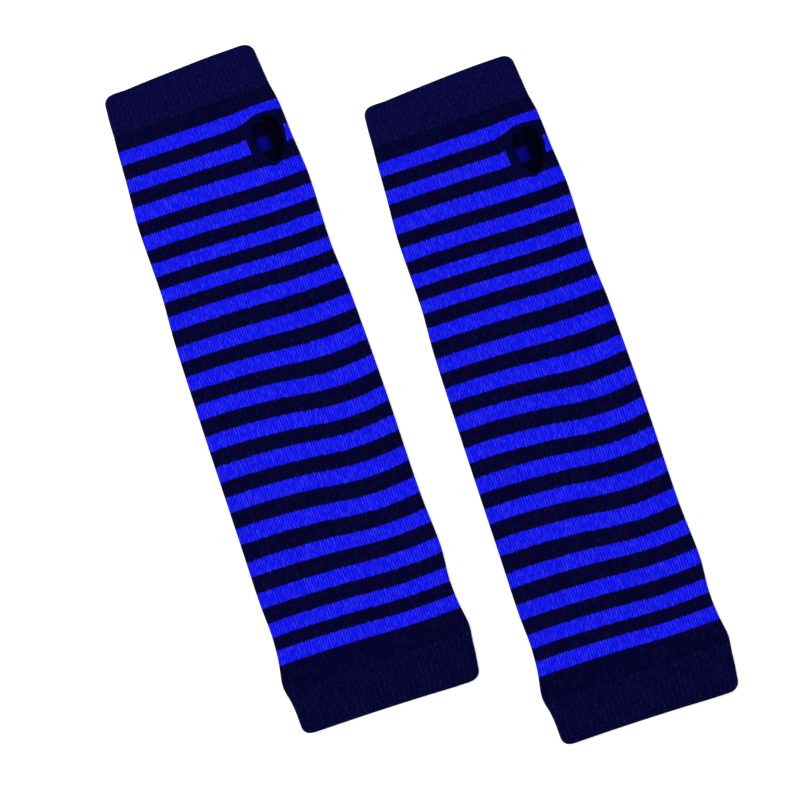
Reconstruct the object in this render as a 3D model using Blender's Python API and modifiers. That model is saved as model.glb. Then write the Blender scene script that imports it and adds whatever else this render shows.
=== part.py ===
"""Pair of knitted arm warmers, laid flat side by side on a table.

Each warmer is one circular-knit tube with a turned double cuff at either end and a thumb hole,
edged with a sewn binding, in its upper layer.  The two warmers are alike: the left one lies higher
towards the hand end and the right one lower.  +Y points to the hand ends, +X to the thumb holes'
side and +Z up from the table.  The origin is under the middle of the pair, on the table.
"""

import math
from collections import namedtuple

import bmesh
import bpy

MM = 0.001

# Lengths along one warmer, from its hand end to its arm end
LENGTH = 325.0 * MM
HAND_CUFF = 22.6 * MM
ARM_CUFF = 24.0 * MM
SEAM_GAP = 0.3 * MM
ROW_STEP = 14.0 * MM
SHORTEST_STEP = 1.0 * MM

# Cloth: one layer of plain knit in the tube, two layers in the turned cuffs
Cloth = namedtuple("Cloth", "wall height")
TUBE = Cloth(1.2 * MM, 3.2 * MM)
CUFF = Cloth(1.9 * MM, 4.4 * MM)
FOLD_RISE = 0.8 * MM
CORNER_RADIUS = 4.5 * MM
CORNER_STEPS = 3
TURNED_EDGE = 0.6 * MM

# The free edges run slightly askew, and the upper layer's arm edge lies back from the lower one's
HAND_SLANT = 2.6 * MM
ARM_SLANT = 1.0 * MM
ARM_SETBACK = 1.6 * MM

# Where the two warmers lie
PAIR_ACROSS = 116.1 * MM
PAIR_ALONG = 44.9 * MM

# Outline of the flat tube: reach to each side of its centre line at a distance from the hand end, in mm
Width = namedtuple("Width", "along left right")
OUTLINE = [
    Width(0, 38.2, 37.6),
    Width(14, 39.2, 38.8),
    Width(23, 39.5, 39.7),
    Width(29, 40.0, 41.0),
    Width(48, 41.0, 42.1),
    Width(67, 42.4, 43.7),
    Width(86, 42.3, 43.4),
    Width(105, 42.2, 43.1),
    Width(124, 43.5, 44.4),
    Width(177, 44.3, 45.4),
    Width(230, 44.7, 45.3),
    Width(259, 45.0, 46.6),
    Width(273, 44.4, 45.3),
    Width(287, 45.3, 45.8),
    Width(298, 47.5, 47.5),
    Width(306, 45.8, 46.5),
    Width(312, 45.2, 46.0),
    Width(325, 45.0, 44.1),
]

# Thumb hole, cut to a shield shape, and the opening that its binding leaves
Shield = namedtuple("Shield", "across along half_width head foot")
HOLE = Shield(29.6 * MM, 45.0 * MM, 9.6 * MM, 10.6 * MM, 15.0 * MM)
OPENING = Shield(30.9 * MM, 45.0 * MM, 6.8 * MM, 8.8 * MM, 13.6 * MM)
HEAD_SQUARENESS = 0.7
FOOT_SQUARENESS = 1.25
HOLE_POINTS = 28
BINDING_PROUD = 0.4 * MM
BINDING_ROUNDING = 0.35 * MM

# Positions round a section, as fractions of the flat part's reach, and the steps of a side fold
UNDER_STOPS = (-1.0, -0.5, 0.0, 0.5, 1.0)
UPPER_STOPS = (1.0, 0.75, 0.4, 0.0, -0.4, -0.75, -1.0)
FOLD_STEPS = 4

# A modifier rounds only the edges that turn more sharply than the cloth itself does
SHARP_TURN = math.radians(60.0)

NAVY = (0.0027, 0.0023, 0.032, 1.0)
DEEP_NAVY = (0.0022, 0.0018, 0.026, 1.0)
ROYAL_BLUE = (0.011, 0.013, 0.87, 1.0)
YARN_ROUGHNESS = 0.85


def clear_scene():
    """Remove every object, so the model starts from nothing."""
    for obj in list(bpy.data.objects):
        bpy.data.objects.remove(obj, do_unlink=True)


def new_collection(name):
    """Make a collection in the scene."""
    collection = bpy.data.collections.new(name)
    bpy.context.scene.collection.children.link(collection)
    return collection


def new_material(name, colour):
    """Make a matte yarn material."""
    material = bpy.data.materials.new(name)
    material.use_nodes = True
    shader = material.node_tree.nodes["Principled BSDF"]
    shader.inputs["Base Color"].default_value = colour
    shader.inputs["Roughness"].default_value = YARN_ROUGHNESS
    shader.inputs["Metallic"].default_value = 0.0
    return material


def new_object(name, mesh_data, collection, parent, material=None):
    """Turn a bmesh into an object with outward faces, placed by its parent."""
    bmesh.ops.recalc_face_normals(mesh_data, faces=mesh_data.faces)
    mesh = bpy.data.meshes.new(name)
    mesh_data.to_mesh(mesh)
    mesh_data.free()
    obj = bpy.data.objects.new(name, mesh)
    collection.objects.link(obj)
    obj.parent = parent
    if material:
        mesh.materials.append(material)
    return obj


def slope(rows, i, column):
    """Slope of one column of the outline at a row, from the rows on either side."""
    before, after = rows[max(i - 1, 0)], rows[min(i + 1, len(rows) - 1)]
    return (getattr(after, column) - getattr(before, column)) / (after.along - before.along)


def outline_at(along, column):
    """Smooth curve through one column of the outline."""
    position = min(max(along / MM, 0.0), OUTLINE[-1].along)
    i = max(k for k, row in enumerate(OUTLINE[:-1]) if row.along <= position)
    start, end = OUTLINE[i], OUTLINE[i + 1]
    span = end.along - start.along
    t = (position - start.along) / span
    value = (2 * t**3 - 3 * t**2 + 1) * getattr(start, column) + (3 * t**2 - 2 * t**3) * getattr(end, column)
    value += (t**3 - 2 * t**2 + t) * span * slope(OUTLINE, i, column)
    value += (t**3 - t**2) * span * slope(OUTLINE, i + 1, column)
    return value * MM


def reach(along):
    """Reach of the flat tube to the left and right of its centre line."""
    return outline_at(along, "left"), outline_at(along, "right")


def corner_inset(distance):
    """How far a rounded corner pulls the side in, at a distance from the free edge."""
    if distance >= CORNER_RADIUS:
        return 0.0
    short = CORNER_RADIUS - distance
    return CORNER_RADIUS - math.sqrt(CORNER_RADIUS**2 - short**2)


def corner_distances():
    """Distances from the free edge at equal turns round a rounded corner, past the turned edge."""
    turns = [math.pi / 2 * step / CORNER_STEPS for step in range(2, CORNER_STEPS + 1)]
    return [CORNER_RADIUS * (1.0 - math.cos(turn)) for turn in turns]


def upper_height(fraction, height):
    """Height of the upper face: the cloth stands a little taller towards its side folds."""
    return height + FOLD_RISE * abs(fraction) ** 4


def section(along, cloth, depth):
    """Points round the flattened tube at one place, a depth inside its outer face.

    Each is (across, up, fraction of the flat part).
    """
    left, right = reach(along)
    inset = corner_inset(min(along, LENGTH - along))
    middle = upper_height(1.0, cloth.height) / 2.0
    flat_left = left - inset - middle
    flat_right = right - inset - middle
    radius = middle - depth

    def across(fraction):
        return fraction * (flat_right if fraction > 0 else flat_left)

    points = [(across(stop), depth, stop) for stop in UNDER_STOPS]
    for step in range(1, FOLD_STEPS):
        turn = math.pi * step / FOLD_STEPS
        points.append((flat_right + radius * math.sin(turn), middle - radius * math.cos(turn), 1.0))
    points += [(across(stop), upper_height(stop, cloth.height) - depth, stop) for stop in UPPER_STOPS]
    for step in range(1, FOLD_STEPS):
        turn = math.pi * step / FOLD_STEPS
        points.append((-flat_left - radius * math.sin(turn), middle + radius * math.cos(turn), -1.0))
    return points


def edge_shift(along, up, fraction, height):
    """How far a point moves along the warmer because its free edge is askew or set back."""
    hand = max(0.0, 1.0 - along / HAND_CUFF)
    arm = max(0.0, 1.0 - (LENGTH - along) / ARM_CUFF)
    askew = 0.5 - 0.5 * fraction
    setback = ARM_SETBACK * (up / height) * (1.0 - fraction**2)
    return hand * HAND_SLANT * askew - arm * (ARM_SLANT * askew + min(setback, ARM_SETBACK))


def round_sharp_edges(obj, width):
    """Soften an object's sharp edges."""
    edge = obj.modifiers.new("soft_edge", "BEVEL")
    edge.width = width
    edge.segments = 1
    edge.limit_method = "ANGLE"
    edge.angle_limit = SHARP_TURN


def join_rings(mesh_data, near, far):
    """Join two rings of vertices with a band of faces."""
    for i in range(len(near)):
        j = (i + 1) % len(near)
        mesh_data.faces.new((near[i], near[j], far[j], far[i]))


def add_ring(mesh_data, along, cloth, depth):
    """Add the vertices of one section to a mesh."""
    ring = []
    for across, up, fraction in section(along, cloth, depth):
        shifted = along + edge_shift(along, up, fraction, cloth.height)
        ring.append(mesh_data.verts.new((across, LENGTH / 2 - shifted, up)))
    return ring


def lofted_wall(name, places_along, turned_edge, cloth, collection, parent, material):
    """Loft a sleeve of cloth: along its outer face, then back along its inner one.

    A turned cuff's two faces meet on the fold at its turned edge; None leaves both ends cut square.
    """
    mesh_data = bmesh.new()
    outer = [add_ring(mesh_data, along, cloth, 0.0) for along in places_along]
    inner = [add_ring(mesh_data, along, cloth, cloth.wall) for along in reversed(places_along)]
    rings = outer + inner
    if turned_edge is not None:
        fold = add_ring(mesh_data, turned_edge, cloth, cloth.wall / 2.0)
        rings.insert(0 if turned_edge < places_along[0] else len(outer), fold)
    for near, far in zip(rings, rings[1:] + rings[:1]):
        join_rings(mesh_data, near, far)
    return new_object(name, mesh_data, collection, parent, material)


def shield_outline(shape):
    """Points (across, along) of a shield outline: broad at its head, pointed at its foot."""
    points = []
    for i in range(HOLE_POINTS):
        turn = 2.0 * math.pi * i / HOLE_POINTS
        side, up = -math.sin(turn), math.cos(turn)
        squareness = HEAD_SQUARENESS if up > 0 else FOOT_SQUARENESS
        across = shape.across + math.copysign(abs(side) ** squareness, side) * shape.half_width
        along = shape.along - up * (shape.head if up > 0 else shape.foot)
        points.append((across, along))
    return points


def front_height(across, along):
    """Height of the tube's upper face at a place on it."""
    left, right = reach(along)
    fold = upper_height(1.0, TUBE.height) / 2.0
    flat = (right if across > 0 else left) - fold
    return upper_height(min(1.0, abs(across) / flat), TUBE.height)


def cut_thumb_hole(tube, cutters, parent):
    """Cut the shield-shaped hole through the upper layer only."""
    between_layers = TUBE.height / 2.0
    mesh_data = bmesh.new()
    corners = []
    for across, along in shield_outline(HOLE):
        corners.append(mesh_data.verts.new((across, LENGTH / 2 - along, between_layers)))
    base = mesh_data.faces.new(corners)
    raised = bmesh.ops.extrude_face_region(mesh_data, geom=[base])["geom"]
    top = [item for item in raised if isinstance(item, bmesh.types.BMVert)]
    bmesh.ops.translate(mesh_data, verts=top, vec=(0.0, 0.0, 2.0 * TUBE.height))
    cutter = new_object(tube.name + "_hole_cutter", mesh_data, cutters, parent)
    cutter.hide_render = True
    cutter.display_type = "WIRE"
    cut = tube.modifiers.new("thumb_hole", "BOOLEAN")
    cut.operation = "DIFFERENCE"
    cut.solver = "EXACT"
    cut.object = cutter


def thumb_binding(name, collection, parent, material):
    """The sewn edging: a flat ring that fills the cut edge and follows the upper layer's height."""
    sizes = (HOLE.half_width - SEAM_GAP, HOLE.head - SEAM_GAP, HOLE.foot - SEAM_GAP)
    rim = Shield(HOLE.across, HOLE.along, *sizes)
    levels = ((rim, -TUBE.wall), (rim, BINDING_PROUD), (OPENING, BINDING_PROUD), (OPENING, -TUBE.wall))
    mesh_data = bmesh.new()
    loops = []
    for shape, rise in levels:
        loop = []
        for across, along in shield_outline(shape):
            up = front_height(across, along) + rise
            loop.append(mesh_data.verts.new((across, LENGTH / 2 - along, up)))
        loops.append(loop)
    for near, far in zip(loops, loops[1:] + loops[:1]):
        join_rings(mesh_data, near, far)
    obj = new_object(name, mesh_data, collection, parent, material)
    round_sharp_edges(obj, BINDING_ROUNDING)
    return obj


def stations(start, end, corner_stops):
    """Places along the warmer for the sections of one piece."""
    first, last = start + SHORTEST_STEP, end - SHORTEST_STEP
    rows = [row.along * MM for row in OUTLINE if first < row.along * MM < last]
    places = sorted({start, end, *rows, *corner_stops})
    result = [start]
    for near, far in zip(places, places[1:]):
        steps = math.ceil((far - near) / ROW_STEP)
        result += [near + (far - near) * step / steps for step in range(1, steps + 1)]
    return result


def arm_warmer(side, place, collection, cutters):
    """One arm warmer: hand cuff, striped tube, thumb binding and arm cuff, all on one empty at its middle."""
    warmer = bpy.data.objects.new(side + "_warmer", None)
    warmer.location = place
    collection.objects.link(warmer)

    arm_start = LENGTH - ARM_CUFF
    corner = corner_distances()
    hand_stations = stations(TURNED_EDGE, HAND_CUFF, corner)
    tube_stations = stations(HAND_CUFF + SEAM_GAP, arm_start - SEAM_GAP, [])
    arm_stations = stations(arm_start, LENGTH - TURNED_EDGE, [LENGTH - distance for distance in corner])

    hand_yarn = new_material(side + "_hand_cuff_yarn", NAVY)
    tube_yarn = new_material(side + "_striped_yarn", ROYAL_BLUE)
    binding_yarn = new_material(side + "_binding_yarn", DEEP_NAVY)
    arm_yarn = new_material(side + "_arm_cuff_yarn", NAVY)

    lofted_wall(side + "_hand_cuff", hand_stations, 0.0, CUFF, collection, warmer, hand_yarn)
    tube = lofted_wall(side + "_tube", tube_stations, None, TUBE, collection, warmer, tube_yarn)
    cut_thumb_hole(tube, cutters, warmer)
    thumb_binding(side + "_thumb_binding", collection, warmer, binding_yarn)
    lofted_wall(side + "_arm_cuff", arm_stations, LENGTH, CUFF, collection, warmer, arm_yarn)


def main():
    """Build the pair."""
    clear_scene()
    collection = new_collection("knitted_arm_warmers")
    cutters = new_collection("cutters")
    arm_warmer("left", (-PAIR_ACROSS / 2, PAIR_ALONG / 2, 0.0), collection, cutters)
    arm_warmer("right", (PAIR_ACROSS / 2, -PAIR_ALONG / 2, 0.0), collection, cutters)


main()
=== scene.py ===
"""Pair of knitted arm warmers: the cloth round the CAD frame, its yarns, light and camera."""

import math
from collections import namedtuple

import bpy
import numpy as np
from bpy.props import FloatProperty, FloatVectorProperty, IntProperty, PointerProperty
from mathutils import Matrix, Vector
from mathutils.bvhtree import BVHTree


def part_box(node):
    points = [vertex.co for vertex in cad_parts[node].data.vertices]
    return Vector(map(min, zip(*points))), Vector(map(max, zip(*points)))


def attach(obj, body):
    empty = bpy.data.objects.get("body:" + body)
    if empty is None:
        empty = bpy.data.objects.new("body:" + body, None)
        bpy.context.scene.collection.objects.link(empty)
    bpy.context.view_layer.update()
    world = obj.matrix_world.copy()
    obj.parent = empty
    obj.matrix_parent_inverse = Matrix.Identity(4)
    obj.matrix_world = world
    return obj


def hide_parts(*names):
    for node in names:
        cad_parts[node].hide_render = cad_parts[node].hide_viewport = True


bl_info = {
    "name": "Knitted Arm Warmers",
    "version": (1, 0, 0),
    "blender": (4, 5, 0),
    "location": "View3D > Sidebar > Arm Warmers",
    "description": "Knits the cloth of a pair of striped arm warmers round their CAD frame",
    "category": "Object",
}

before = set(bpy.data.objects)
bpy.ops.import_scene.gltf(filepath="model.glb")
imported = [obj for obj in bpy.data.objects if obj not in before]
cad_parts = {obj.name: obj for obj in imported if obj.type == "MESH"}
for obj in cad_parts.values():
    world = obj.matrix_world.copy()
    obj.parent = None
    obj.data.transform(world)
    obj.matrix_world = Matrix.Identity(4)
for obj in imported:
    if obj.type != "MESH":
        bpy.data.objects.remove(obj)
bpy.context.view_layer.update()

MM = 0.001
SIDES = ("left", "right")

# Knit: wales are the stitch columns round the sleeve, courses the stitch rows along it
WALES = 144
UPPER_WALES = (-2, 74)
STRIPE_COURSES = 8
TUBE_ROW_COURSES = 2.0
CUFF_ROW = 0.42 * MM
INNER_ROW = 5.5 * MM

# Reading the outline: its step, and how far to keep off the seams and the cuffs' round corners
OUTLINE_STEP = 3.0 * MM
SEAM_CLEARANCE = 0.6 * MM
CORNER_CLEARANCE = 9.0 * MM

# Blue stripes of the tube, from the hand end
Stripe = namedtuple("Stripe", "start end")
STRIPES = (
    Stripe(29.9, 37.0),
    Stripe(43.8, 50.9),
    Stripe(57.8, 66.0),
    Stripe(72.4, 79.8),
    Stripe(86.5, 93.2),
    Stripe(99.5, 106.2),
    Stripe(113.0, 120.4),
    Stripe(128.3, 136.2),
    Stripe(143.6, 151.6),
    Stripe(158.9, 166.8),
    Stripe(174.7, 182.6),
    Stripe(189.8, 197.8),
    Stripe(205.2, 213.0),
    Stripe(221.0, 229.1),
    Stripe(237.4, 244.8),
    Stripe(252.6, 260.4),
    Stripe(267.7, 274.9),
    Stripe(281.2, 288.5),
)

# The courses sag towards one side fold by this much, at a distance from the hand end
Sag = namedtuple("Sag", "along drop")
SAGS = (
    Sag(0, 0.0),
    Sag(30, 0.0),
    Sag(62, 0.6),
    Sag(105, 0.7),
    Sag(132, 0.9),
    Sag(147, 1.6),
    Sag(163, 2.4),
    Sag(180, 2.5),
    Sag(194, 1.9),
    Sag(210, 2.2),
    Sag(226, 2.2),
    Sag(241, 1.6),
    Sag(256, 1.1),
    Sag(286, 0.9),
    Sag(301, 0.0),
)

# Soft creases of the upper layer: middle, half sizes, turn and depth, in mm and degrees
Crease = namedtuple("Crease", "across along half_width half_length turn depth")
CREASES = (
    Crease(13, 52, 5, 26, -16, 0.30),
    Crease(-22, 78, 9, 40, 6, 0.22),
    Crease(24, 84, 6, 24, -22, 0.26),
    Crease(-6, 140, 11, 52, 3, 0.24),
    Crease(27, 171, 8, 36, -8, 0.24),
    Crease(-27, 205, 8, 42, 7, 0.26),
    Crease(9, 238, 10, 34, -4, 0.22),
    Crease(-34, 288, 5, 16, 18, 0.34),
    Crease(35, 290, 5, 15, -20, 0.32),
    Crease(-12, 293, 6, 12, 12, 0.22),
    Crease(14, 295, 6, 12, -10, 0.22),
    Crease(-30, 28, 6, 12, -14, 0.24),
    Crease(4, 27, 8, 10, 6, 0.18),
)

# Pull of the thumb hole on the courses round it
HOLE_RISE = 3.6 * MM
HOLE_DIP = 0.5 * MM
RISE_TO_HAND = 5.5 * MM
RISE_TO_ARM = 14.0 * MM
DIP_SPREAD = 6.5 * MM

# Seams, fades and the rib's rows
SEAM_TUCK = 0.45 * MM
END_FADE = 8.0 * MM
CUFF_COURSE = 0.86 * MM

Sleeve = namedtuple("Sleeve", "centre hand_end reach_along reach_left reach_right trees")


# ---------------------------------------------------------------------------------------------
# Sizes, yarns and studio


class KnitSizes(bpy.types.PropertyGroup):
    """Thicknesses and relief of the knitted cloth"""

    tube_wall: FloatProperty(
        name="Tube cloth",
        description="Thickness of one layer of plain knit",
        default=1.15 * MM, unit="LENGTH",
    )
    cuff_wall: FloatProperty(
        name="Cuff cloth",
        description="Thickness of a turned, double cuff",
        default=1.8 * MM, unit="LENGTH",
    )
    tube_height: FloatProperty(
        name="Tube height",
        description="Height of the flattened tube at its middle",
        default=3.15 * MM, unit="LENGTH",
    )
    cuff_height: FloatProperty(
        name="Cuff height",
        description="Height of a flattened cuff at its middle",
        default=4.3 * MM, unit="LENGTH",
    )
    fold_rise: FloatProperty(
        name="Fold rise",
        description="Extra height along the side folds",
        default=0.8 * MM, unit="LENGTH",
    )
    corner_radius: FloatProperty(
        name="Cuff corner",
        description="Radius of a cuff's rounded corners",
        default=4.5 * MM, unit="LENGTH",
    )
    seam_lap: FloatProperty(
        name="Seam lap",
        description="How far the tube's ends run under the cuffs",
        default=1.2 * MM, unit="LENGTH",
    )
    cuff_ease: FloatProperty(
        name="Cuff ease",
        description="Length over which a cuff drops to the tube",
        default=3.0 * MM, unit="LENGTH",
    )
    wale_depth: FloatProperty(
        name="Wale relief",
        description="Depth of the grooves between stitch columns",
        default=0.2 * MM, unit="LENGTH",
    )
    rib_depth: FloatProperty(
        name="Rib relief",
        description="Depth of the grooves of the ribbed cuffs",
        default=0.34 * MM, unit="LENGTH",
    )
    stitch_depth: FloatProperty(
        name="Stitch relief",
        description="Depth between two stitch rows of a cuff",
        default=0.12 * MM, unit="LENGTH",
    )
    binding_points: IntProperty(
        name="Binding steps",
        description="Points round the thumb binding",
        default=168,
    )
    binding_stitches: IntProperty(
        name="Overcast stitches",
        description="Stitches round the binding",
        default=56,
    )


class YarnColours(bpy.types.PropertyGroup):
    """Colours and surface of the yarns"""

    blue: FloatVectorProperty(
        name="Stripe blue",
        description="Stripes of the tube",
        default=(0.0085, 0.0100, 0.93), subtype="COLOR",
    )
    navy: FloatVectorProperty(
        name="Tube navy",
        description="Dark bands and stripes",
        default=(0.0012, 0.0009, 0.0300), subtype="COLOR",
    )
    # The hand cuff's colours are a lighter copy of the arm cuff's: painted light and sheen on the same yarn
    # towards the hand end
    hand_navy: FloatVectorProperty(
        name="Hand cuff navy",
        description="Ribbed hand cuff",
        default=(0.0022, 0.0016, 0.0450), subtype="COLOR",
    )
    arm_navy: FloatVectorProperty(
        name="Arm cuff navy",
        description="Ribbed arm cuff",
        default=(0.0011, 0.0009, 0.0270), subtype="COLOR",
    )
    binding_navy: FloatVectorProperty(
        name="Binding navy",
        description="Thumb-hole binding",
        default=(0.0010, 0.0008, 0.0300), subtype="COLOR",
    )
    roughness: FloatProperty(
        name="Roughness",
        description="Roughness of the yarn",
        default=0.85, subtype="FACTOR",
    )
    sheen: FloatProperty(
        name="Sheen",
        description="Soft nap of the yarn",
        default=0.015, subtype="FACTOR",
    )
    gloss: FloatProperty(
        name="Gloss",
        description="Specular level of the yarn",
        default=0.02, subtype="FACTOR",
    )
    inside_light: FloatProperty(
        name="Inside light",
        description="Share of light left inside the sleeve",
        default=0.20, subtype="FACTOR",
    )


class StudioSettings(bpy.types.PropertyGroup):
    """Camera, floor and light"""

    view_width: FloatProperty(
        name="View width",
        description="Width in view",
        default=384.0 * MM, unit="LENGTH",
    )
    view_turn: FloatProperty(
        name="View turn",
        description="Turn of the camera",
        default=math.radians(-18.7), subtype="ANGLE",
    )
    view_across: FloatProperty(
        name="View across",
        description="Middle in view",
        default=-7.8 * MM, unit="LENGTH",
    )
    view_along: FloatProperty(
        name="View along",
        description="Middle in view",
        default=-0.9 * MM, unit="LENGTH",
    )
    lens: FloatProperty(name="Lens", description="Focal length in millimetres", default=90.0)
    sky: FloatProperty(
        name="Sky light",
        description="Strength of the light all round",
        default=0.85,
    )
    softbox: FloatProperty(
        name="Softbox",
        description="Power of the softbox in watts",
        default=14.0,
    )
    floor_glow: FloatProperty(
        name="Floor glow",
        description="Light given off by the pale floor",
        default=0.35,
    )


# ---------------------------------------------------------------------------------------------
# Shader expressions


class Number:
    """A number that changes over a surface, as the output of a shader node."""

    def __init__(self, finish, socket):
        self.finish = finish
        self.socket = socket

    def math(self, operation, *values, clamp=False):
        settings = {"operation": operation, "use_clamp": clamp}
        node = self.finish.node("ShaderNodeMath", settings, dict(enumerate(values)))
        return Number(self.finish, node.outputs[0])

    def __add__(self, other):
        return self.math("ADD", self, other)

    __radd__ = __add__

    def __sub__(self, other):
        return self.math("SUBTRACT", self, other)

    def __rsub__(self, other):
        return self.math("SUBTRACT", other, self)

    def __mul__(self, other):
        return self.math("MULTIPLY", self, other)

    __rmul__ = __mul__

    def __truediv__(self, other):
        return self.math("DIVIDE", self, other)

    def __rtruediv__(self, other):
        return self.math("DIVIDE", other, self)

    def __pow__(self, other):
        return self.math("POWER", self, other)

    def __abs__(self):
        return self.math("ABSOLUTE", self)

    def __gt__(self, other):
        return self.math("GREATER_THAN", self, other)

    def __lt__(self, other):
        return self.math("LESS_THAN", self, other)

    def fraction(self):
        return self.math("FRACT", self)

    def whole(self):
        return self.math("FLOOR", self)

    def clamped(self):
        return self.math("ADD", self, 0.0, clamp=True)

    def ramp(self, low, high):
        """0 below low, 1 above high, and even between."""
        return ((self - low) / (high - low)).clamped()


class Finish:
    """A yarn material built from expressions."""

    def __init__(self, name):
        self.material = bpy.data.materials.new(name)
        self.material.use_nodes = True
        self.nodes = self.material.node_tree.nodes
        self.links = self.material.node_tree.links
        self.surface = self.nodes["Principled BSDF"]

    def node(self, kind, settings=None, values=None):
        """Add a node: its settings first, then its sockets' values and links."""
        node = self.nodes.new(kind)
        for name, value in (settings or {}).items():
            setattr(node, name, value)
        for key, value in (values or {}).items():
            self.feed(node.inputs[key], value)
        return node

    def feed(self, socket, value):
        """Link a socket to a varying value, or set it to a constant one."""
        if isinstance(value, Number):
            value = value.socket
        if isinstance(value, bpy.types.NodeSocket):
            self.links.new(value, socket)
        else:
            socket.default_value = value

    def number(self, socket):
        return Number(self, socket)

    def stitch_place(self):
        """Where a point is in the knit: its wale and its course."""
        place = self.node("ShaderNodeUVMap", {"uv_map": "Knit"})
        parts = self.node("ShaderNodeSeparateXYZ", values={0: place.outputs[0]})
        return self.number(parts.outputs[0]), self.number(parts.outputs[1])

    def attribute(self, name):
        return self.number(self.node("ShaderNodeAttribute", {"attribute_name": name}).outputs["Fac"])

    def vector(self, x, y, z=0.0):
        return self.node("ShaderNodeCombineXYZ", values={0: x, 1: y, 2: z}).outputs[0]

    def noise(self, vector, scale=1.0, detail=2.0, roughness=0.5):
        values = {"Vector": vector, "Scale": scale, "Detail": detail, "Roughness": roughness}
        return self.number(self.node("ShaderNodeTexNoise", None, values).outputs["Fac"])

    def chance(self, vector):
        """An even random number for each place."""
        return self.number(self.node("ShaderNodeTexWhiteNoise", None, {"Vector": vector}).outputs["Value"])

    def mix(self, mask, first, second):
        values = {0: mask, 6: first, 7: second}
        return self.node("ShaderNodeMix", {"data_type": "RGBA"}, values).outputs[2]

    def scale(self, colour, factor):
        """A colour made lighter or darker."""
        node = self.node("ShaderNodeVectorMath", {"operation": "SCALE"}, {0: colour, "Scale": factor})
        return node.outputs[0]

    def yarn(self, yarns, colour, height, relief, roughness):
        """Feed the surface: colour, roughness and stitch relief, over the yarn's constant nap."""
        bump = self.node("ShaderNodeBump", None, {"Strength": 1.0, "Distance": relief, "Height": height})
        self.feed(self.surface.inputs["Base Color"], colour)
        self.feed(self.surface.inputs["Roughness"], roughness)
        self.feed(self.surface.inputs["Normal"], bump.outputs[0])
        self.surface.inputs["Specular IOR Level"].default_value = yarns.gloss
        self.surface.inputs["Sheen Weight"].default_value = yarns.sheen
        self.surface.inputs["Sheen Roughness"].default_value = 0.4
        self.surface.inputs["Sheen Tint"].default_value = (0.25, 0.28, 1.0, 1.0)
        return self.material


def opaque(colour):
    """A property's colour as a socket takes it."""
    return (*colour, 1.0)


def stitch_height(wale, course):
    """Relief of plain knit: two legs of yarn to a wale, leaning out into a V."""
    leg = abs(wale.fraction() - 0.5) * 2.0
    round_leg = 1.0 - (leg * 2.0 - 1.0) ** 2.0
    along = (course - leg * 0.55).fraction()
    arch = 1.0 - (along * 2.0 - 1.0) ** 2.0
    return round_leg * (0.4 + 0.6 * arch)


def striped_finish(yarns):
    """Plain knit in navy and blue stripes, whose edges follow the stitches."""
    finish = Finish("striped_knit")
    wale, course = finish.stitch_place()
    inside = finish.attribute("inside")
    shade = finish.attribute("shade")
    leg = abs(wale.fraction() - 0.5) * 2.0
    uneven = finish.noise(finish.vector(wale * 0.7, course * 0.15), 1.0, 1.0)
    edge = course - leg * 0.7 + (uneven - 0.5) * 1.4
    turn = (edge / (2.0 * STRIPE_COURSES)).fraction()
    last = 2.0 * STRIPE_COURSES * len(STRIPES) - 4.0
    blue = (turn > 0.02) * (turn < 0.5) * (edge > 0.0) * (edge < last)

    height = stitch_height(wale, course)
    # Painted shade: crest is 1 on the middle of a wale and 0 in the groove between wales, and the colours
    # mixed by it are darker in the grooves
    crest = (1.0 - leg).ramp(0.08, 0.85)
    stroke = finish.noise(finish.vector(wale * 1.9 - course * 0.35, course * 0.30, 3.0), 1.0, 2.0, 0.6)
    speck = finish.chance(finish.vector((wale * 2.0).whole(), (course * 0.5 - leg * 0.3).whole(), 1.0))
    cloudy = finish.noise(finish.vector(wale * 0.06, course * 0.05, 7.0), 1.0, 2.0)

    # Painted highlight: light marks pale strokes and sparkling specks on the wale crests, and the blue is
    # mixed towards a paler blue there
    light = (stroke.ramp(0.48, 0.70) * 0.6 + speck.ramp(0.55, 1.0) * 0.9).clamped() * crest
    # Painted shade: the blue turns to a deep blue in the grooves between wales
    full_blue = finish.mix(crest, (0.0006, 0.0009, 0.60, 1.0), opaque(yarns.blue))
    full_blue = finish.mix(light * 0.70, full_blue, (0.050, 0.058, 0.99, 1.0))
    # Painted highlight on the navy: pale strokes and specks, mostly on the wale crests
    navy_painted_highlight = (stroke.ramp(0.54, 0.72) * 0.9 + speck.ramp(0.80, 1.0) * 0.8).clamped() * (0.2 + 0.8 * crest)
    tint = finish.mix(cloudy.ramp(0.35, 0.65), (0.0026, 0.0010, 0.032, 1.0), (0.0008, 0.0015, 0.031, 1.0))
    full_navy = finish.mix(0.35, opaque(yarns.navy), tint)
    # Painted shade: the navy turns darker in the grooves between wales
    full_navy = finish.mix(crest, (0.0002, 0.0002, 0.0160, 1.0), full_navy)
    full_navy = finish.mix(navy_painted_highlight * 0.70, full_navy, (0.0090, 0.0074, 0.064, 1.0))
    colour = finish.mix(blue, full_navy, full_blue)
    # Random cloudy tone, times painted shade that darkens the low parts of the stitch relief
    tone_and_painted_groove_shade = (0.90 + 0.20 * cloudy) * (0.86 + 0.14 * height.ramp(0.05, 0.55))
    # Painted shade on the inner purl face: blue and navy darkened as if in the shade inside the sleeve, and
    # darker still towards the right fold, where the blue stripe fades out
    inner_blue_painted_shade = finish.scale(tuple(yarns.blue), yarns.inside_light * shade * (0.6 + 0.8 * cloudy))
    inner_navy_painted_shade = finish.scale((0.0005, 0.0004, 0.0100), 0.5 + 0.5 * shade)
    purl_face_painted_shade = finish.mix(blue * shade.ramp(0.05, 0.75), inner_navy_painted_shade, inner_blue_painted_shade)
    colour = finish.mix(inside, finish.scale(colour, tone_and_painted_groove_shade), purl_face_painted_shade)
    roughness = yarns.roughness + 0.10 * (1.0 - height)
    return finish.yarn(yarns, colour, height, 0.20 * MM, roughness)


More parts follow.
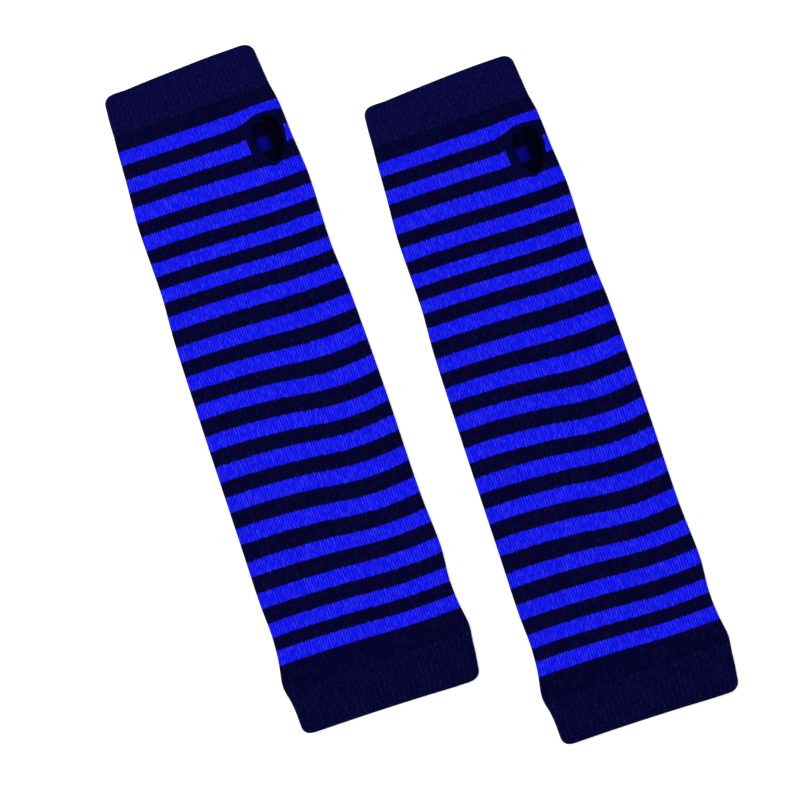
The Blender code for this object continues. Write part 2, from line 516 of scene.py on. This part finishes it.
def ribbed_finish(yarns, name, navy, rib_groove_painted_shade, pale):
    """Ribbed knit: knit columns with purl columns sunk between them."""
    finish = Finish(name)
    wale, course = finish.stitch_place()
    purl = (wale * 0.5).fraction() > 0.5
    knit_height = stitch_height(wale, course)
    bar = 1.0 - ((course + 0.5).fraction() * 2.0 - 1.0) ** 2.0
    across = 1.0 - (wale.fraction() * 2.0 - 1.0) ** 2.0
    height = knit_height * (1.0 - purl) + bar * across * 0.7 * purl
    stroke = finish.noise(finish.vector(wale * 1.5 - course * 0.2, course * 0.5, 5.0), 1.0, 2.0, 0.6)
    speck = finish.chance(finish.vector((wale * 2.0).whole(), course.whole(), 2.0))
    cloudy = finish.noise(finish.vector(wale * 0.07, course * 0.07, 4.0), 1.0, 2.0)
    # Painted highlight: light marks pale strokes and specks, and the crests turn towards the pale colour
    # there
    light = (stroke.ramp(0.48, 0.70) * 0.8 + speck.ramp(0.60, 1.0) * 0.8).clamped()
    # Painted shade: crest is low in the grooves and on the sunk purl columns, where the colour turns to the
    # darker groove colour
    crest = height.ramp(0.05, 0.55) * (1.0 - 0.35 * purl)
    colour = finish.mix(crest, opaque(rib_groove_painted_shade), opaque(navy))
    colour = finish.mix(light * crest * 0.9, colour, opaque(pale))
    colour = finish.scale(colour, 0.92 + 0.16 * cloudy)
    roughness = yarns.roughness + 0.10 * (1.0 - height)
    return finish.yarn(yarns, colour, height, 0.18 * MM, roughness)


def binding_finish(yarns):
    """Overcast sewing thread over the cut edge of the thumb hole."""
    finish = Finish("binding_yarn")
    turn, across = finish.stitch_place()
    strand = abs((turn - across * 0.6).fraction() - 0.5) * 2.0
    height = 1.0 - strand * strand
    fibre = finish.noise(finish.vector(turn * 3.0 - across * 1.8, across * 1.5), 1.0, 3.0, 0.6)
    light = fibre.ramp(0.55, 0.75)
    colour = finish.mix(light * 0.5, opaque(yarns.binding_navy), (0.0060, 0.0046, 0.056, 1.0))
    # Painted shade: the thread darkens between its strands, where the relief is low
    colour = finish.scale(colour, 0.60 + 0.40 * height)
    roughness = yarns.roughness + 0.10 * (1.0 - height)
    return finish.yarn(yarns, colour, height, 0.16 * MM, roughness)


# ---------------------------------------------------------------------------------------------
# Reading the frame


def tree_of(name):
    """A CAD node as something that rays can meet."""
    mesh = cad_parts[name].data
    corners = [vertex.co.copy() for vertex in mesh.vertices]
    return BVHTree.FromPolygons(corners, [tuple(polygon.vertices) for polygon in mesh.polygons])


def read_sleeve(side):
    """Place, outline and edges of one warmer, read from its CAD nodes."""
    parts = [side + "_hand_cuff", side + "_tube", side + "_arm_cuff"]
    trees = {name: tree_of(name) for name in parts}
    tube_low, tube_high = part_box(side + "_tube")
    hand_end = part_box(side + "_hand_cuff")[1].y
    centre = (tube_low.x + tube_high.x) / 2.0
    along, left, right = [], [], []
    for name in parts:
        low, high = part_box(name)
        middle = (high.z + low.z) / 2.0
        first = max(high.y, tube_low.y)
        inset = CORNER_CLEARANCE if name.endswith("hand_cuff") else SEAM_CLEARANCE
        trim = CORNER_CLEARANCE if name.endswith("arm_cuff") else SEAM_CLEARANCE
        count = max(3, round((high.y - low.y) / OUTLINE_STEP))
        for y in np.linspace(first - inset, low.y + trim, count):
            from_left = trees[name].ray_cast(Vector((centre - 1.0, y, middle)), Vector((1.0, 0.0, 0.0)))
            from_right = trees[name].ray_cast(Vector((centre + 1.0, y, middle)), Vector((-1.0, 0.0, 0.0)))
            along.append(hand_end - y)
            left.append(centre - from_left[0].x)
            right.append(from_right[0].x - centre)
    return Sleeve(centre, hand_end, np.array(along), np.array(left), np.array(right), trees)


def extended(along, known, values):
    """Interpolate, and carry the last slope on past either end."""
    inner = np.interp(along, known, values)
    start = values[0] + (along - known[0]) * (values[2] - values[0]) / (known[2] - known[0])
    end = values[-1] + (along - known[-1]) * (values[-1] - values[-3]) / (known[-1] - known[-3])
    return np.where(along < known[0], start, np.where(along > known[-1], end, inner))


def smoothed(along, known, values):
    """The outline at a distance from the hand end, with the CAD's facets rounded off."""
    total = np.zeros_like(along)
    offsets = np.linspace(-3.0, 3.0, 7) * MM
    weights = np.exp(-((offsets / (2.0 * MM)) ** 2))
    for offset, weight in zip(offsets, weights):
        total += weight * extended(along + offset, known, values)
    return total / weights.sum()


def reach(sleeve, along):
    """Reach of the sleeve to the left and right of its centre line."""
    left = smoothed(along, sleeve.reach_along, sleeve.reach_left)
    right = smoothed(along, sleeve.reach_along, sleeve.reach_right)
    return left, right


def free_edge(sleeve, name, direction, up):
    """How far from the hand end one layer's free edge lies, at fractions of the reach."""
    low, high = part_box(name)
    start = high.y + 0.05 if direction < 0 else low.y - 0.05
    fractions = np.linspace(-0.84, 0.84, 15)
    left, right = reach(sleeve, np.array([sleeve.hand_end - (high.y if direction < 0 else low.y)]))
    places = []
    for fraction in fractions:
        across = fraction * (right[0] if fraction > 0 else left[0])
        ray = Vector((0.0, direction, 0.0))
        hit = sleeve.trees[name].ray_cast(Vector((sleeve.centre + across, start, up)), ray)
        places.append(sleeve.hand_end - hit[0].y)
    return fractions, np.array(places)


# ---------------------------------------------------------------------------------------------
# Knitting


def ring_wales():
    """Wale positions round a sleeve: four to a wale on the upper layer and two on the under one."""
    first, last = UPPER_WALES
    upper = np.arange(first * 4, last * 4) / 4.0
    under = np.arange(last * 2, (WALES + first) * 2) / 2.0
    return np.concatenate([upper, under])


def section(wales, left, right, height, rise, depth):
    """Across, up, side fraction and upper-layer mask of points a depth inside the outer face.

    Wale 0 is at the middle of the right fold, and wales count up over the upper layer.
    """
    middle = (height + rise) / 2.0
    flat = left + right - 2.0 * middle
    quarter = math.pi / 2.0 * middle
    total = 2.0 * flat + 4.0 * quarter
    around = np.mod(wales / WALES, 1.0) * total
    on_upper = around - quarter
    on_left = on_upper - flat
    on_under = on_left - 2.0 * quarter
    on_right = on_under - flat
    angle = np.where(on_upper < 0, around / middle, math.pi / 2.0 + on_left / middle)
    angle = np.where(on_right > 0, -math.pi / 2.0 + on_right / middle, angle)
    radius = middle - depth
    right_fold = (on_upper < 0) | (on_right > 0)
    fold_centre = np.where(right_fold, right - middle, -(left - middle))
    across = fold_centre + radius * np.cos(angle)
    up = middle + radius * np.sin(angle)
    upper = (on_upper >= 0) & (on_left <= 0)
    under = (on_under > 0) & (on_right <= 0)
    across = np.where(upper, right - middle - on_upper, across)
    across = np.where(under, -(left - middle) + on_under, across)
    fraction = np.clip(across / np.where(across > 0, right - middle, left - middle), -1.0, 1.0)
    up = np.where(upper, 2.0 * middle - rise * (1.0 - fraction**4) - depth, up)
    up = np.where(under, depth, up)
    return across, up, fraction, upper


def soft_creases(across, along):
    """Height that the listed creases take from or give to the upper layer."""
    change = np.zeros_like(across)
    for crease in CREASES:
        turn = math.radians(crease.turn)
        x = across / MM - crease.across
        y = along / MM - crease.along
        cross = (x * math.cos(turn) + y * math.sin(turn)) / crease.half_width
        run = (-x * math.sin(turn) + y * math.cos(turn)) / crease.half_length
        ridge = np.exp(-((cross - 1.3) ** 2)) * 0.6
        change -= crease.depth * MM * (np.exp(-(cross**2)) - ridge) * np.exp(-(run**2))
    return change


def corner_inset(distance, radius):
    """How far a rounded corner pulls the side in, at a distance from the free edge."""
    short = np.clip(radius - distance, 0.0, radius)
    return radius - np.sqrt(radius**2 - short**2)


def closed_mesh(name, points):
    """A smooth mesh whose rows of points close on themselves both ways."""
    rows, ring = points.shape[:2]
    near = np.arange(rows * ring).reshape(rows, ring)
    far = np.roll(near, -1, axis=0)
    faces = np.stack([near, np.roll(near, -1, axis=1), np.roll(far, -1, axis=1), far], axis=-1)
    mesh = bpy.data.meshes.new(name)
    mesh.from_pydata(points.reshape(-1, 3), [], faces.reshape(-1, 4))
    mesh.polygons.foreach_set("use_smooth", np.ones(rows * ring, bool))
    return mesh


def lay_uv(mesh, name, u, v):
    """Give a closed mesh a UV layer from the values at its rows and columns, ends included."""
    both = np.stack([u, v], axis=-1)
    corners = np.stack([both[:-1, :-1], both[:-1, 1:], both[1:, 1:], both[1:, :-1]], axis=2)
    layer = mesh.uv_layers.new(name=name)
    layer.data.foreach_set("uv", corners.astype(np.float32).ravel())


def sleeve_mesh(name, points, wales, courses, attributes):
    """A closed sleeve from rows of points: each row runs round it, and the rows run out and back."""
    rows, ring = points.shape[:2]
    mesh = closed_mesh(name, points)
    wale_ends = np.append(wales, WALES + wales[0])
    course_ends = np.vstack([courses, courses[:1]])
    course_ends = np.hstack([course_ends, course_ends[:, :1]])
    wale_grid = np.broadcast_to(wale_ends, (rows + 1, ring + 1))
    row_grid = np.broadcast_to(np.linspace(0.0, 1.0, rows + 1)[:, None], (rows + 1, ring + 1))
    sheet_wales = (wale_grid - wales[0]) / WALES
    for layer_name, u, v in (("Knit", wale_grid, course_ends), ("OFBake", sheet_wales, row_grid)):
        lay_uv(mesh, layer_name, u, v)
    for label, values in attributes.items():
        attribute = mesh.attributes.new(label, "FLOAT", "POINT")
        attribute.data.foreach_set("value", values.astype(np.float32).ravel())
    mesh.validate()
    return mesh


def add_piece(mesh, material, node):
    """Put a finished mesh in the scene as the cloth that stands for a CAD node."""
    piece = bpy.data.objects.new(mesh.name, mesh)
    bpy.context.scene.collection.objects.link(piece)
    mesh.materials.append(material)
    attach(piece, "root")
    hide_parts(node)
    return piece


def course_places():
    """Known courses of the tube and where they lie: 8 to a blue stripe and 8 to a navy one."""
    courses, places = [], []
    for i, stripe in enumerate(STRIPES):
        courses += [2 * STRIPE_COURSES * i, 2 * STRIPE_COURSES * i + STRIPE_COURSES]
        places += [stripe.start, stripe.end]
    pitch = (places[-1] - places[0]) / (courses[-1] - courses[0])
    courses = [courses[0] - 20] + courses + [courses[-1] + 20]
    places = [places[0] - 20 * pitch] + places + [places[-1] + 20 * pitch]
    return np.array(courses, float), np.array(places) * MM


def hole_shape(side, grow):
    """The thumb hole by its CAD binding: centre, half width, and reach to hand and to arm."""
    low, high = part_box(side + "_thumb_binding")
    half = (high.x - low.x) / 2.0
    head = 0.414 * (high.y - low.y)
    foot = (high.y - low.y) - head
    centre = ((high.x + low.x) / 2.0, high.y - head)
    return centre, half + grow, head + grow, foot + grow


def shield(turn, half, head, foot):
    """Outline of the thumb hole, broad at its head and pointed at its foot."""
    side, up = -np.sin(turn), np.cos(turn)
    squareness = np.where(up > 0, 0.7, 1.25)
    across = np.sign(side) * np.abs(side) ** squareness * half
    return across, up * np.where(up > 0, head, foot)


def on_upper_layer(wales):
    """1 on the upper layer, 0 on the under one, and even over the side folds."""
    return np.clip(0.5 + 6.0 * np.sin(2.0 * math.pi * wales / WALES), 0.0, 1.0)


def course_shift(sleeve, side, wales, across, along):
    """How far a course drops from its place: its sag, and the pull of the thumb hole."""
    drop = np.interp(along / MM, [sag.along for sag in SAGS], [sag.drop for sag in SAGS]) * MM
    shift = drop * np.where(across > 0, 1.2 * np.sin(across / (16.5 * MM)), np.sin(across / (23.0 * MM)))
    (hole_x, hole_y), half, head, foot = hole_shape(side, 0.0)
    from_hole = across - (hole_x - sleeve.centre) - 1.5 * MM
    from_hole = from_hole / np.where(from_hole > 0, 1.9 * half, 0.95 * half)
    hole_head = sleeve.hand_end - hole_y - head
    hole_foot = sleeve.hand_end - hole_y + foot
    pull = on_upper_layer(wales) * np.exp(-(from_hole**2))
    from_head = along - hole_head - 2.5 * MM
    spread = np.where(from_head < 0, RISE_TO_HAND, RISE_TO_ARM)
    rise = HOLE_RISE * np.exp(-((from_head / spread) ** 2))
    dip = HOLE_DIP * np.exp(-(((along - hole_foot + 2.0 * MM) / DIP_SPREAD) ** 2))
    return shift + pull * (dip - rise)


def tube_cloth(side, sleeve, sizes):
    """Rows of points of one tube, out along its knit face and back along its purl face."""
    low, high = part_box(side + "_tube")
    start = sleeve.hand_end - high.y - sizes.seam_lap
    end = sleeve.hand_end - low.y + sizes.seam_lap
    known, places = course_places()
    first, last = np.interp([start, end], places, known)
    outer_courses = np.linspace(first, last, round((last - first) / TUBE_ROW_COURSES))
    inner_count = round((end - start) / INNER_ROW)
    inner_courses = np.linspace(last, first, inner_count)
    courses = np.concatenate([outer_courses, inner_courses])[:, None]
    inside = np.concatenate([np.zeros(len(outer_courses)), np.ones(inner_count)])[:, None]
    base = np.interp(courses, known, places)
    wales = ring_wales()[None, :]

    left, right = reach(sleeve, base)
    groove = 0.5 + 0.5 * np.cos(2.0 * math.pi * wales)
    depth = (1.0 - inside) * groove * sizes.wale_depth + inside * sizes.tube_wall
    tucked = np.clip((start + sizes.seam_lap - base) / sizes.seam_lap, 0.0, 1.0)
    tucked += np.clip((base - end + sizes.seam_lap) / sizes.seam_lap, 0.0, 1.0)
    depth = depth + (1.0 - inside) * SEAM_TUCK * np.clip(2.5 * tucked, 0.0, 1.0)
    across, up, fraction, upper = section(wales, left, right, sizes.tube_height, sizes.fold_rise, depth)
    fade = np.clip((base - start) / END_FADE, 0.0, 1.0) * np.clip((end - base) / END_FADE, 0.0, 1.0)
    along = base + fade * course_shift(sleeve, side, wales, across, base)
    settle = np.clip(1.0 - np.abs(fraction) ** 3, 0.0, 1.0)
    up = up + upper * settle * fade * np.clip(soft_creases(across, along), -0.45 * MM, 0.40 * MM)
    points = np.stack([sleeve.centre + across, sleeve.hand_end - along, up], axis=-1)

    # Painted shade for the inner face: 0.9 up to just left of the thumb hole's middle, falling to 0.04
    # towards the right fold
    (hole_x, _), half, _, _ = hole_shape(side, 0.0)
    into_fold = (across - (hole_x - sleeve.centre)) / half
    shade = np.clip(0.9 - 1.9 * np.clip(into_fold + 0.10, 0.0, 1.0), 0.04, 1.0)
    ones = np.ones_like(across)
    return points, wales[0], courses * ones, {"inside": inside * ones, "shade": shade}


def cuff_cloth(side, sleeve, sizes, at_hand):
    """Rows of points of one turned cuff: knit face, turned edge, then inner face."""
    name = side + ("_hand_cuff" if at_hand else "_arm_cuff")
    low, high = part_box(name)
    seam = sleeve.hand_end - (low.y if at_hand else high.y)
    direction = -1 if at_hand else 1
    wall = sizes.cuff_wall
    wales = ring_wales()[None, :]

    upper_layer = free_edge(sleeve, name, direction, high.z - 1.75 * MM)
    under_layer = free_edge(sleeve, name, direction, low.z + 0.95 * MM)
    left, right = reach(sleeve, np.array([[seam]]))
    _, _, fraction, _ = section(wales, left, right, sizes.cuff_height, sizes.fold_rise, 0.0)
    on_top = on_upper_layer(wales)
    edge = on_top * np.interp(fraction, *upper_layer) + (1.0 - on_top) * np.interp(fraction, *under_layer)

    length = abs(high.y - low.y)
    outer = np.linspace(0.0, 1.0, round(length / CUFF_ROW))
    roll = np.linspace(0.0, math.pi, 9)[1:-1]
    inner = np.linspace(1.0, 0.0, round(length / INNER_ROW) + 2)
    runs = np.concatenate([outer, np.ones(len(roll)), inner])[:, None]
    turns = np.concatenate([np.zeros(len(outer)), roll, np.full(len(inner), math.pi)])[:, None]
    inward = 0.5 - 0.5 * np.cos(turns)

    straight = seam + runs * (edge - direction * wall / 2.0 - seam)
    along = straight + direction * wall / 2.0 * np.sin(turns)
    distance = np.abs(edge - along)
    left, right = reach(sleeve, along)
    inset = corner_inset(distance, sizes.corner_radius)
    from_seam = np.abs(along - seam)
    ease = np.clip(from_seam / sizes.cuff_ease, 0.0, 1.0)
    ease = ease * ease * (3.0 - 2.0 * ease)
    height = sizes.tube_height + 0.03 * MM + ease * (sizes.cuff_height - sizes.tube_height - 0.03 * MM)
    courses = direction * from_seam / CUFF_COURSE
    rib = 0.5 + 0.5 * np.cos(math.pi * (wales - 0.5))
    rib_share = 0.25 + 0.75 * ease
    stitch = 0.5 + 0.5 * np.cos(2.0 * math.pi * courses + math.pi * rib)
    relief = rib * sizes.rib_depth * rib_share + stitch * sizes.stitch_depth
    thin = (0.55 + 0.45 * ease) * wall
    depth = (1.0 - inward) * relief + inward * thin
    across, up, fraction, upper = section(wales, left - inset, right - inset, height, sizes.fold_rise, depth)
    settle = np.clip(1.0 - np.abs(fraction) ** 3, 0.0, 1.0)
    up = up + upper * settle * np.clip(soft_creases(across, along), -0.35 * MM, 0.35 * MM) * ease
    points = np.stack([sleeve.centre + across, sleeve.hand_end - along, up], axis=-1)
    return points, wales[0], courses * np.ones_like(across)


def cut_hole(piece, side):
    """Cut the shield-shaped thumb hole through the upper layer."""
    centre, half, head, foot = hole_shape(side, -0.15 * MM)
    turns = np.linspace(0.0, 2.0 * math.pi, 96, endpoint=False)
    across, along = shield(turns, half, head, foot)
    count = len(turns)
    points = [(centre[0] + x, centre[1] + y, 1.6 * MM) for x, y in zip(across, along)]
    points += [(x, y, 9.0 * MM) for x, y, _ in points]
    faces = [tuple(reversed(range(count))), tuple(range(count, 2 * count))]
    faces += [(i, (i + 1) % count, count + (i + 1) % count, count + i) for i in range(count)]
    mesh = bpy.data.meshes.new(side + "_hole_cutter")
    mesh.from_pydata(points, [], faces)
    mesh.validate()
    cutter = bpy.data.objects.new(mesh.name, mesh)
    bpy.context.scene.collection.objects.link(cutter)
    cut = piece.modifiers.new("thumb_hole", "BOOLEAN")
    cut.operation = "DIFFERENCE"
    cut.solver = "EXACT"
    cut.object = cutter
    bpy.context.view_layer.update()
    depsgraph = bpy.context.evaluated_depsgraph_get()
    result = bpy.data.meshes.new_from_object(piece.evaluated_get(depsgraph))
    piece.modifiers.clear()
    piece.data = result
    bpy.data.objects.remove(cutter)


def binding_mesh(side, sleeve, sizes):
    """The sewn edging: a rolled ring from the cloth, over the cut edge, and down into the opening."""
    name = side + "_thumb_binding_yarn"
    centre, half, head, foot = hole_shape(side, 0.5 * MM)
    opening = (half - 3.0 * MM, head - 1.9 * MM, foot - 1.7 * MM)
    opening_shift = 1.6 * MM
    count = sizes.binding_points
    turns = np.linspace(0.0, 2.0 * math.pi, count, endpoint=False)
    outside = np.stack(shield(turns, half, head, foot), axis=-1)
    inside = np.stack(shield(turns, *opening), axis=-1) + np.array([opening_shift, 0.0])
    profile = (
        (0.00, -1.10),
        (0.00, -0.10),
        (0.10, 0.14),
        (0.30, 0.30),
        (0.55, 0.36),
        (0.80, 0.24),
        (0.95, -0.10),
        (1.00, -0.60),
        (0.92, -1.10),
    )
    crest = 1.0 - np.abs(np.mod(turns / (2.0 * math.pi) * sizes.binding_stitches, 1.0) * 2.0 - 1.0)
    rows = []
    for share, rise in profile:
        place = outside * (1.0 - share) + inside * share
        x = centre[0] + place[:, 0]
        y = centre[1] + place[:, 1]
        left, right = reach(sleeve, sleeve.hand_end - y)
        flat = np.where(x > sleeve.centre, right, left) - 2.0 * MM
        fraction = np.clip(np.abs(x - sleeve.centre) / flat, 0.0, 1.0)
        face = sizes.tube_height + sizes.fold_rise * fraction**4
        lift = rise * MM + (0.10 * MM * (crest - 0.5) if rise > -0.5 else 0.0)
        rows.append(np.stack([x, y, face + lift], axis=-1))
    points = np.array(rows)
    levels, ring = points.shape[:2]
    mesh = closed_mesh(name, points)
    u = np.broadcast_to(np.linspace(0.0, 1.0, ring + 1), (levels + 1, ring + 1))
    v = np.broadcast_to(np.linspace(0.0, 1.0, levels + 1)[:, None], (levels + 1, ring + 1))
    for layer_name, scale in (("Knit", (sizes.binding_stitches, 2.0)), ("OFBake", (1.0, 1.0))):
        lay_uv(mesh, layer_name, u * scale[0], v * scale[1])
    mesh.validate()
    return mesh


# ---------------------------------------------------------------------------------------------
# Operators


class ARMWARMERS_OT_knit_tubes(bpy.types.Operator):
    """Knit both striped tubes, with their thumb holes"""

    bl_idname = "arm_warmers.knit_tubes"
    bl_label = "Knit Tubes"

    def execute(self, context):
        sizes = context.scene.knit_sizes
        material = striped_finish(context.scene.yarn_colours)
        for side in SIDES:
            sleeve = read_sleeve(side)
            points, wales, courses, attributes = tube_cloth(side, sleeve, sizes)
            mesh = sleeve_mesh(side + "_tube_knit", points, wales, courses, attributes)
            piece = add_piece(mesh, material, side + "_tube")
            cut_hole(piece, side)
        return {"FINISHED"}


class ARMWARMERS_OT_knit_cuffs(bpy.types.Operator):
    """Knit the ribbed, turned cuffs at both ends of each sleeve"""

    bl_idname = "arm_warmers.knit_cuffs"
    bl_label = "Knit Cuffs"

    def execute(self, context):
        sizes = context.scene.knit_sizes
        yarns = context.scene.yarn_colours
        # Each cuff's painted shade for the rib's grooves and painted highlight for its crests; the hand
        # cuff's are lighter, painted light and sheen towards the hand end
        hand_painted_shade_and_highlight = (0.0006, 0.0004, 0.030), (0.0110, 0.0090, 0.082)
        arm_painted_shade_and_highlight = (0.0003, 0.0002, 0.019), (0.0090, 0.0078, 0.062)
        hand = ribbed_finish(yarns, "hand_cuff_knit", yarns.hand_navy, *hand_painted_shade_and_highlight)
        arm = ribbed_finish(yarns, "arm_cuff_knit", yarns.arm_navy, *arm_painted_shade_and_highlight)
        for side in SIDES:
            sleeve = read_sleeve(side)
            for at_hand, material in ((True, hand), (False, arm)):
                end = "_hand_cuff" if at_hand else "_arm_cuff"
                points, wales, courses = cuff_cloth(side, sleeve, sizes, at_hand)
                mesh = sleeve_mesh(side + end + "_knit", points, wales, courses, {})
                piece = add_piece(mesh, material, side + end)
                low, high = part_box(side + end)
        return {"FINISHED"}


class ARMWARMERS_OT_sew_bindings(bpy.types.Operator):
    """Sew the dark edging round both thumb holes"""

    bl_idname = "arm_warmers.sew_bindings"
    bl_label = "Sew Thumb Bindings"

    def execute(self, context):
        sizes = context.scene.knit_sizes
        material = binding_finish(context.scene.yarn_colours)
        for side in SIDES:
            mesh = binding_mesh(side, read_sleeve(side), sizes)
            binding = add_piece(mesh, material, side + "_thumb_binding")
        return {"FINISHED"}


class ARMWARMERS_OT_set_stage(bpy.types.Operator):
    """Lay the pale floor, light it softly and look straight down at the pair"""

    bl_idname = "arm_warmers.set_stage"
    bl_label = "Set Stage"

    def execute(self, context):
        scene = context.scene
        studio = scene.studio_settings
        lay_floor(studio)
        light_studio(scene, studio)
        height = studio.view_width * studio.lens / 36.0
        data = bpy.data.cameras.new("overhead_camera")
        data.lens = studio.lens
        data.sensor_width = 36.0
        data.clip_start = 0.05
        data.clip_end = 20.0
        camera = bpy.data.objects.new("overhead_camera", data)
        camera.location = (studio.view_across, studio.view_along, height + 2.0 * MM)
        camera.rotation_euler = (0.0, 0.0, studio.view_turn)
        scene.collection.objects.link(camera)
        scene.camera = camera
        scene.view_settings.view_transform = "Standard"
        return {"FINISHED"}


def lay_floor(studio):
    """A plain pale table top."""
    finish = Finish("pale_table")
    finish.surface.inputs["Base Color"].default_value = (0.93, 0.93, 0.93, 1.0)
    finish.surface.inputs["Roughness"].default_value = 0.9
    finish.surface.inputs["Specular IOR Level"].default_value = 0.1
    finish.surface.inputs["Emission Color"].default_value = (1.0, 1.0, 1.0, 1.0)
    finish.surface.inputs["Emission Strength"].default_value = studio.floor_glow
    size = 3.0
    corners = [(-size, -size, 0.0), (size, -size, 0.0), (size, size, 0.0), (-size, size, 0.0)]
    mesh = bpy.data.meshes.new("pale_table")
    mesh.from_pydata(corners, [], [(0, 1, 2, 3)])
    mesh.materials.append(finish.material)
    floor = bpy.data.objects.new("pale_table", mesh)
    bpy.context.scene.collection.objects.link(floor)


def light_studio(scene, studio):
    """Even white light all round, with one large softbox overhead."""
    world = bpy.data.worlds.new("white_room")
    world.use_nodes = True
    background = world.node_tree.nodes["Background"]
    background.inputs["Color"].default_value = (1.0, 1.0, 1.0, 1.0)
    background.inputs["Strength"].default_value = studio.sky
    scene.world = world
    light = bpy.data.lights.new("softbox", "AREA")
    light.energy = studio.softbox
    light.shape = "RECTANGLE"
    light.size = 1.4
    light.size_y = 1.0
    softbox = bpy.data.objects.new("softbox", light)
    softbox.location = (-0.5, 0.7, 1.5)
    softbox.rotation_euler = (Vector((0.0, 0.0, 0.0)) - softbox.location).to_track_quat("-Z", "Y").to_euler()
    scene.collection.objects.link(softbox)


class ARMWARMERS_PT_sidebar(bpy.types.Panel):
    """Sizes, yarns and steps of the arm warmers"""

    bl_label = "Arm Warmers"
    bl_space_type = "VIEW_3D"
    bl_region_type = "UI"
    bl_category = "Arm Warmers"

    def draw(self, context):
        layout = self.layout
        for group in (context.scene.knit_sizes, context.scene.yarn_colours, context.scene.studio_settings):
            box = layout.box()
            for name in group.__annotations__:
                box.prop(group, name)
        for operator in OPERATORS:
            layout.operator(operator.bl_idname)


OPERATORS = (
    ARMWARMERS_OT_knit_tubes,
    ARMWARMERS_OT_knit_cuffs,
    ARMWARMERS_OT_sew_bindings,
    ARMWARMERS_OT_set_stage,
)
CLASSES = (KnitSizes, YarnColours, StudioSettings, *OPERATORS, ARMWARMERS_PT_sidebar)


def register():
    for cls in CLASSES:
        bpy.utils.register_class(cls)
    bpy.types.Scene.knit_sizes = PointerProperty(type=KnitSizes)
    bpy.types.Scene.yarn_colours = PointerProperty(type=YarnColours)
    bpy.types.Scene.studio_settings = PointerProperty(type=StudioSettings)


def unregister():
    del bpy.types.Scene.studio_settings
    del bpy.types.Scene.yarn_colours
    del bpy.types.Scene.knit_sizes
    for cls in reversed(CLASSES):
        bpy.utils.unregister_class(cls)


def main():
    register()
    bpy.ops.arm_warmers.set_stage()
    bpy.ops.arm_warmers.knit_tubes()
    bpy.ops.arm_warmers.knit_cuffs()
    bpy.ops.arm_warmers.sew_bindings()


if __name__ == "__main__":
    main()
